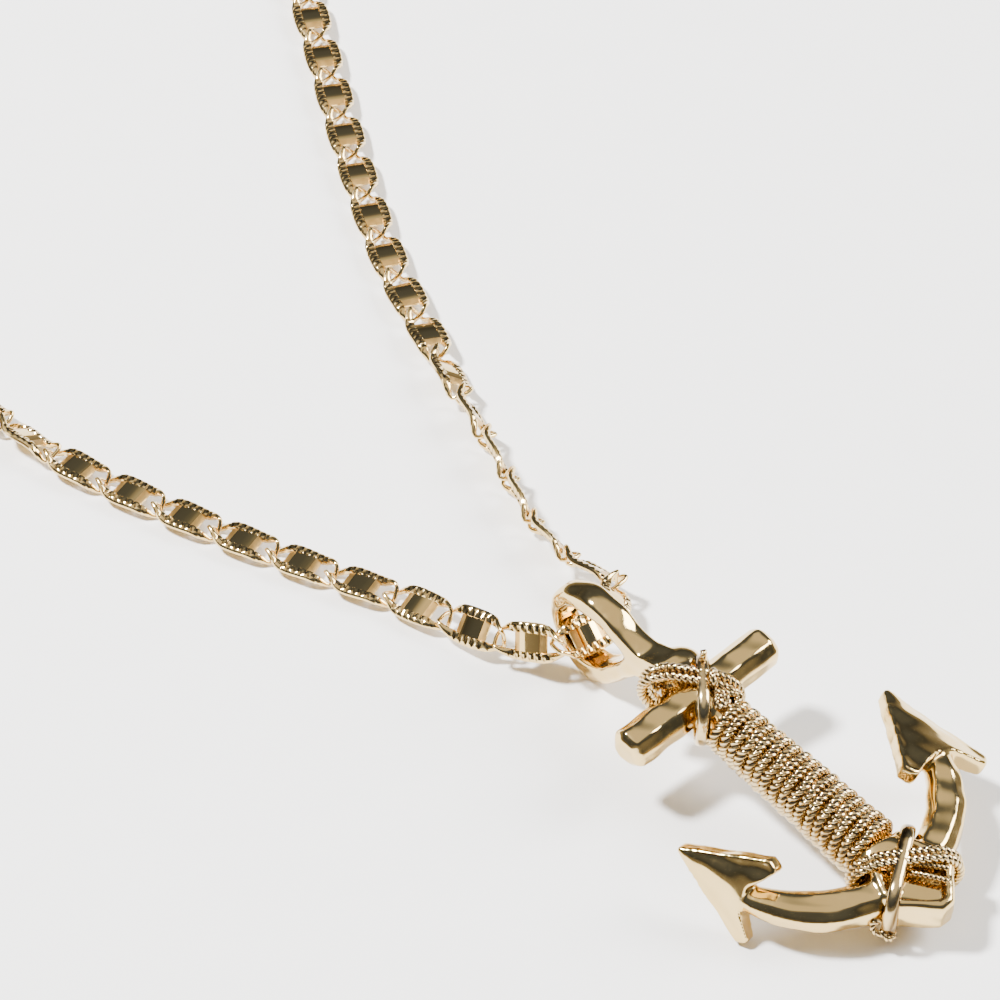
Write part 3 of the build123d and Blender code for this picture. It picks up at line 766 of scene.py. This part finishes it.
class AnchorPendantSettings(bpy.types.PropertyGroup):
    """Sizes and colours that a user would change."""

    rope_radius: bpy.props.FloatProperty(
        name="Rope radius", description="Radius of the rope wound on the shank",
        default=0.43 * MM, min=0.2 * MM, max=0.6 * MM, subtype="DISTANCE", unit="LENGTH")
    rope_lay: bpy.props.FloatProperty(
        name="Rope lay", description="Length in which a strand goes once round the rope",
        default=1.6 * MM, min=0.8 * MM, max=5 * MM, subtype="DISTANCE", unit="LENGTH")
    cast_voxel: bpy.props.FloatProperty(
        name="Casting detail", description="Size of the voxels that join the casting's skins",
        default=0.135 * MM, min=0.1 * MM, max=0.5 * MM, subtype="DISTANCE", unit="LENGTH")
    cast_easing: bpy.props.IntProperty(
        name="Casting softness", description="Smoothing passes over the casting's edges",
        default=18, min=0, max=40)
    cast_ripple: bpy.props.FloatProperty(
        name="Casting ripple", description="Height of the slow waves of hand polishing",
        default=0.1 * MM, min=0.0, max=0.3 * MM, subtype="DISTANCE", unit="LENGTH")
    floor_size: bpy.props.FloatProperty(
        name="Floor size", description="Side of the square floor",
        default=4.0, min=1.0, max=10.0, subtype="DISTANCE", unit="LENGTH")
    key_power: bpy.props.FloatProperty(
        name="Key light", description="Power of the light from behind on the left",
        default=28.0, min=0.0, max=200.0, subtype="POWER", unit="POWER")
    fill_power: bpy.props.FloatProperty(
        name="Fill light", description="Power of the wide light from the right",
        default=22.0, min=0.0, max=200.0, subtype="POWER", unit="POWER")
    floor_colour: bpy.props.FloatVectorProperty(
        name="Floor", description="Colour of the pale floor",
        default=linear("#FAF9F8"), min=0.0, max=1.0, subtype="COLOR", size=3)


# Operators

class PENDANT_OT_casting(bpy.types.Operator):
    """Build the anchor casting with its bail"""

    bl_idname = "pendant.casting"
    bl_label = "Anchor casting"

    def execute(self, context):
        # Gold plated cast brass, tumbled and polished: a warm mirror with soft, uneven edges
        finish = gold("polished_cast_gold", "#F0D292", "#DEBE7C", (0.06, 0.16), 2.6, 0.045)
        skins = [shank_skin(), stock_skin(), crown_skin(), strap_skin(), arm_skin(-1), arm_skin(1),
                 bail_skin()]
        skins += head_skins() + [palm_skin(**row) for row in PALMS]
        skins = [(laid_down(points), quads, fans) for points, quads, fans in skins]
        piece = make_piece("anchor_casting", skins, finish, "anchor")
        weld(piece)
        settings = context.scene.pendant
        melt_together(piece, settings.cast_voxel, settings.cast_easing, settings.cast_ripple)
        return {"FINISHED"}


class PENDANT_OT_ropes(bpy.types.Operator):
    """Build the winding on the shank and the two lashings"""

    bl_idname = "pendant.ropes"
    bl_label = "Winding and lashings"

    def execute(self, context):
        settings = context.scene.pendant
        radius, lay = settings.rope_radius / MM, settings.rope_lay / MM
        # Cast rope detail: bright crests, and brown painted shade in the grooves between strands
        finish = gold("rope_gold_painted_groove_shade", "#E8D2A2", "#D2B074", (0.08, 0.22), 0.7, 0.02,
                      recess_shade="#5C4628")
        wound = [rope_skin(*winding(radius), loop=False, radius=radius, lay=lay, **WINDING_LAY)]
        head = lashing_skins(HEAD_REACH, HEAD_LASHINGS, HEAD_STRANDS, HEAD_KNOTS, HEAD_ENDS, lay)
        crown = lashing_skins(CROWN_REACH, CROWN_LASHINGS, CROWN_STRANDS, CROWN_KNOTS,
                              CROWN_ENDS, lay)
        groups = {"shank_winding": ("shank_rope", wound),
                  "head_cross_lashing": ("head_lashing", head),
                  "crown_cross_lashing": ("crown_lashing", crown)}
        for name, (node, parts) in groups.items():
            skins = [(laid_down(points), quads, fans) for (points, quads, fans), _ in parts]
            crest = np.concatenate([values for _, values in parts])
            make_piece(name, skins, finish, node, crest=crest, sharp=180.0)
        return {"FINISHED"}


class PENDANT_OT_chain(bpy.types.Operator):
    """Build the chain's links and the clasp"""

    bl_idname = "pendant.chain"
    bl_label = "Chain and clasp"

    def execute(self, context):
        # Gold plated wire and mirror-cut plates: bright, a little paler than the casting
        # The milled notches take a dark brown as painted shade
        wire = gold("drawn_chain_gold", "#F2D698", "#E2BE7C", (0.08, 0.18), 1.5, 0.01,
                    recess_shade="#6A4E28")
        mirror = gold("mirror_plate_gold", "#EDCF90", "#E3C27E", (0.03, 0.07), 3.0, 0.01)
        # The plates' sloping ends are matt, and their darker tan colour is painted shade
        satin_and_shade = gold("plate_end_gold_matt_painted_shade", "#D6AE6C", "#C69C56", (0.30, 0.40), 3.0, 0.01)
        origins, axes = chain_places()
        (rails, plate), crest = link_skins()
        skins = [placed(rails, origins[:-1], axes[:-1]), placed(plate, origins[:-1], axes[:-1])]
        crest = np.concatenate([np.tile(crest, len(origins) - 1), np.ones(len(skins[1][0]))])
        piece = make_piece("chain_links", skins, wire, "chain", crest=crest,
                           sharp=32.0)
        piece.data.materials.append(mirror)
        piece.data.materials.append(satin_and_shade)
        first, sides = len(skins[0][1]), 2 * len(PLATE_PROFILE)
        which = np.zeros(len(piece.data.polygons), np.int32)
        which[first:] = 1
        plates = which[first:first + len(skins[1][1])].reshape(-1, sides)
        # The sloping ends get the matt gold with its darker tan of painted shade
        plates[:, [0, sides - 2]] = 2
        piece.data.polygons.foreach_set("material_index", which)
        ring = placed(clasp_skin(), origins[-1:], axes[-1:])
        make_piece("clasp_ring", [ring], wire, "clasp", crest=np.ones(len(ring[0])))
        return {"FINISHED"}


class PENDANT_OT_stage(bpy.types.Operator):
    """Set the pale floor, the soft lights and the camera"""

    bl_idname = "pendant.stage"
    bl_label = "Stage"

    def execute(self, context):
        settings = context.scene.pendant
        half = settings.floor_size / 2
        mesh = bpy.data.meshes.new("floor")
        low = -FLOOR_DROP * MM
        corners = [(-half, -half, low), (half, -half, low), (half, half, low), (-half, half, low)]
        mesh.from_pydata(corners, [], [(0, 1, 2, 3)])
        floor = bpy.data.objects.new("floor", mesh)
        context.scene.collection.objects.link(floor)
        # Painted board: matt and pale, with a faint mottle of a few millimetres
        paper = bpy.data.materials.new("painted_board")
        paper.use_nodes = True
        tree = paper.node_tree
        shader = tree.nodes["Principled BSDF"]
        place = add_node(tree, "ShaderNodeTexCoord").outputs["Object"]
        mottle = add_node(tree, "ShaderNodeTexNoise", {
            "Vector": place, "Scale": per_mm(BOARD_MOTTLE), "Detail": 5.0}).outputs["Fac"]
        pale = tuple(settings.floor_colour)
        tone = add_node(tree, "ShaderNodeMix",
                        {"Factor": mottle, "A": (*pale, 1.0),
                         "B": (*(0.96 * value for value in pale), 1.0)}, data_type="RGBA")
        tree.links.new(tone.outputs["Result"], shader.inputs["Base Color"])
        shader.inputs["Roughness"].default_value = 0.75
        mesh.materials.append(paper)
        self.add_lights(context, settings)
        self.add_camera(context)
        return {"FINISHED"}

    def add_lights(self, context, settings):
        """Two soft boxes and a dim room, so that the gold mirrors both light and dark."""
        powers = {"key": settings.key_power, "fill": settings.fill_power}
        for name, (way, distance, size) in LAMPS.items():
            lamp = bpy.data.lights.new(name, "AREA")
            lamp.energy = powers[name]
            lamp.size = size
            lamp_object = bpy.data.objects.new(name, lamp)
            context.scene.collection.objects.link(lamp_object)
            back = unit(np.array(way))
            right = unit(np.cross([0.0, 0.0, 1.0], back))
            up = np.cross(back, right)
            turn = np.column_stack([right, up, back, back * distance + np.array(LAMP_AIM)])
            lamp_object.matrix_world = Matrix(np.vstack([turn, [0, 0, 0, 1]]).tolist())
        world = bpy.data.worlds.new("room")
        world.use_nodes = True
        context.scene.world = world
        tree = world.node_tree
        way = add_node(tree, "ShaderNodeTexCoord").outputs["Generated"]
        height = add_node(tree, "ShaderNodeSeparateXYZ", {"Vector": way}).outputs["Z"]
        room = add_node(tree, "ShaderNodeValToRGB", {"Fac": height})
        ramp = room.color_ramp.elements
        for _ in ROOM_SHADES[2:]:
            ramp.new(1.0)
        for element, (place, shade) in zip(ramp, ROOM_SHADES):
            element.position, element.color = place, (*linear(shade), 1.0)
        tree.links.new(room.outputs["Color"], tree.nodes["Background"].inputs["Color"])
        tree.nodes["Background"].inputs["Strength"].default_value = ROOM_STRENGTH

    def add_camera(self, context):
        """Camera at the photograph's place and angle, looking at the picture's middle."""
        turn, rise = math.radians(CAMERA_HEADING), math.radians(CAMERA_ELEVATION)
        back = np.array([-math.sin(turn) * math.cos(rise), -math.cos(turn) * math.cos(rise),
                         math.sin(rise)])
        right = unit(np.cross([0.0, 0.0, 1.0], back))
        up = np.cross(back, right)
        view = bpy.data.cameras.new("camera")
        view.sensor_width = 36.0
        view.lens = CAMERA_LENS
        view.clip_start = 0.01
        camera = bpy.data.objects.new("camera", view)
        context.scene.collection.objects.link(camera)
        table = np.column_stack([right, up, back, np.array(CAMERA_AT) * MM])
        camera.matrix_world = Matrix(np.vstack([table, [0, 0, 0, 1]]).tolist())
        context.scene.camera = camera


class PENDANT_PT_panel(bpy.types.Panel):
    """Sizes, colours and pieces of the anchor pendant"""

    bl_label = "Anchor pendant"
    bl_idname = "PENDANT_PT_panel"
    bl_space_type = "VIEW_3D"
    bl_region_type = "UI"
    bl_category = "Pendant"

    def draw(self, context):
        for name in AnchorPendantSettings.__annotations__:
            self.layout.prop(context.scene.pendant, name)
        for operator in OPERATORS:
            self.layout.operator(operator.bl_idname)


OPERATORS = (PENDANT_OT_stage, PENDANT_OT_casting, PENDANT_OT_ropes, PENDANT_OT_chain)
CLASSES = (AnchorPendantSettings, *OPERATORS, PENDANT_PT_panel)


def register():
    for one in CLASSES:
        bpy.utils.register_class(one)
    bpy.types.Scene.pendant = bpy.props.PointerProperty(type=AnchorPendantSettings)


def unregister():
    del bpy.types.Scene.pendant
    for one in reversed(CLASSES):
        bpy.utils.unregister_class(one)


def main():
    """Build everything: the stage, the casting, the ropes and the chain."""
    register()
    bpy.ops.pendant.stage()
    bpy.ops.pendant.casting()
    bpy.ops.pendant.ropes()
    bpy.ops.pendant.chain()


if __name__ == "__main__":
    main()
